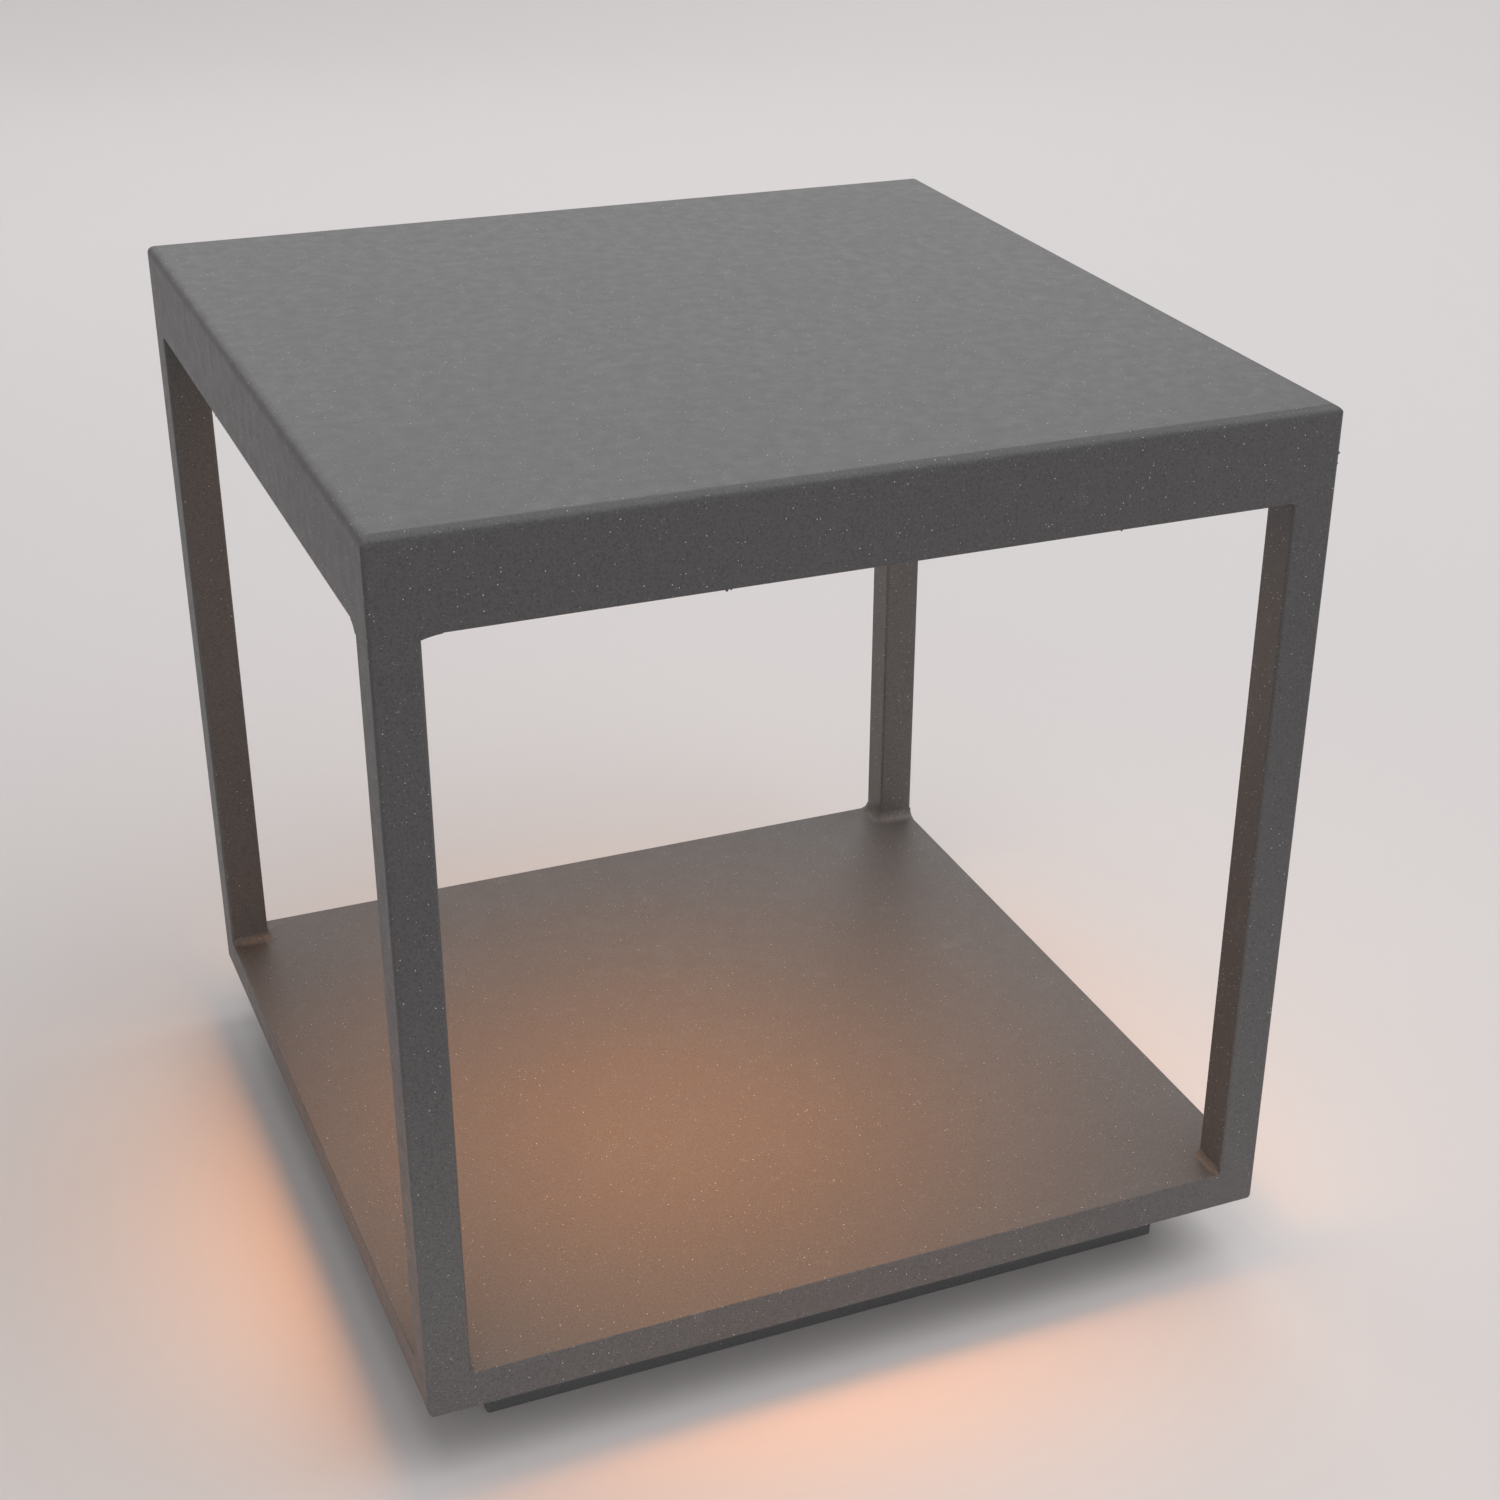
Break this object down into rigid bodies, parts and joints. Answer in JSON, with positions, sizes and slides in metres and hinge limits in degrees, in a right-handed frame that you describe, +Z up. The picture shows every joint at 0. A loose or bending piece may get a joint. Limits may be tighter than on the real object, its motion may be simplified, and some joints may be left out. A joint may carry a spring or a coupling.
{
  "type": "pillar lantern",
  "caption": "Square open-frame garden lantern: a shallow cap with a downward LED light on slim posts over a flat deck, on an inset plinth that lifts off a mounting plate.",
  "frame": {"origin": "centre of the plinth's footprint, on the surface that the lantern stands on", "axes": "+Z up, towards the cap; the front looks along -Y and +X is to the right"},
  "size_m": [0.25, 0.25, 0.266],
  "materials": {
    "coat": "dark anthracite powder coat with a fine sand texture and sparse mica",
    "plinth_coat": "anthracite powder coat, a little smoother",
    "bare_aluminium": "mill finish",
    "zinc_plate": "zinc plated",
    "screw_steel": "stainless, machined",
    "brass": "satin",
    "black_rubber": "matte",
    "silicone": "matte",
    "white_plastic": "matte",
    "dark_plastic": "matte",
    "board_white": "white solder mask",
    "led_phosphor": "phosphor gel",
    "opal_diffuser": "opal, satin, lit from behind",
    "cable_white": "flexible sheath",
    "cable_black": "flexible sheath",
    "earth_green": "green and yellow sheath"
  },
  "bodies": {
    "mounting": {"mounting_plate": "zinc_plate", "plate_tabs": "zinc_plate", "entry_bushing": "black_rubber"},
    "lantern": {"cap": "coat", "post_front_left": "coat", "post_front_right": "coat", "post_back_left": "coat", "post_back_right": "coat", "base_deck": "coat", "rail_front": "coat", "rail_back": "coat", "rail_left": "coat", "rail_right": "coat", "underside_panel": "plinth_coat", "lower_welds": "coat", "upper_welds": "coat", "plinth_skirt": "plinth_coat", "plinth_gasket": "black_rubber", "skirt_screws": "screw_steel", "clinch_nuts": "zinc_plate", "set_screws": "screw_steel", "weld_nuts": "zinc_plate", "heat_plate": "bare_aluminium", "plate_bosses": "bare_aluminium", "plate_screws": "screw_steel", "led_board": "board_white", "led_chips": "led_phosphor", "board_screws": "screw_steel", "board_connector": "white_plastic", "bezel_frame": "coat", "bezel_standoffs": "bare_aluminium", "bezel_screws": "screw_steel", "diffuser": "opal_diffuser", "diffuser_gasket": "silicone", "driver_bracket": "zinc_plate", "bracket_screws": "screw_steel", "driver_case": "white_plastic", "driver_end_caps": "dark_plastic", "driver_screws": "screw_steel", "terminal_block": "white_plastic", "terminal_screws": "brass", "block_screws": "screw_steel", "led_cable": "cable_white", "supply_lead": "cable_black", "cable_grommet": "black_rubber", "cable_clips": "white_plastic", "earth_stud": "brass", "earth_lug": "zinc_plate", "earth_wire": "earth_green"}
  },
  "joints": [
    {"name": "lantern_lift", "type": "slide", "parent": "mounting", "child": "lantern", "axis": [0, 0, 1], "range_m": [0, 0.03]}
  ]
}
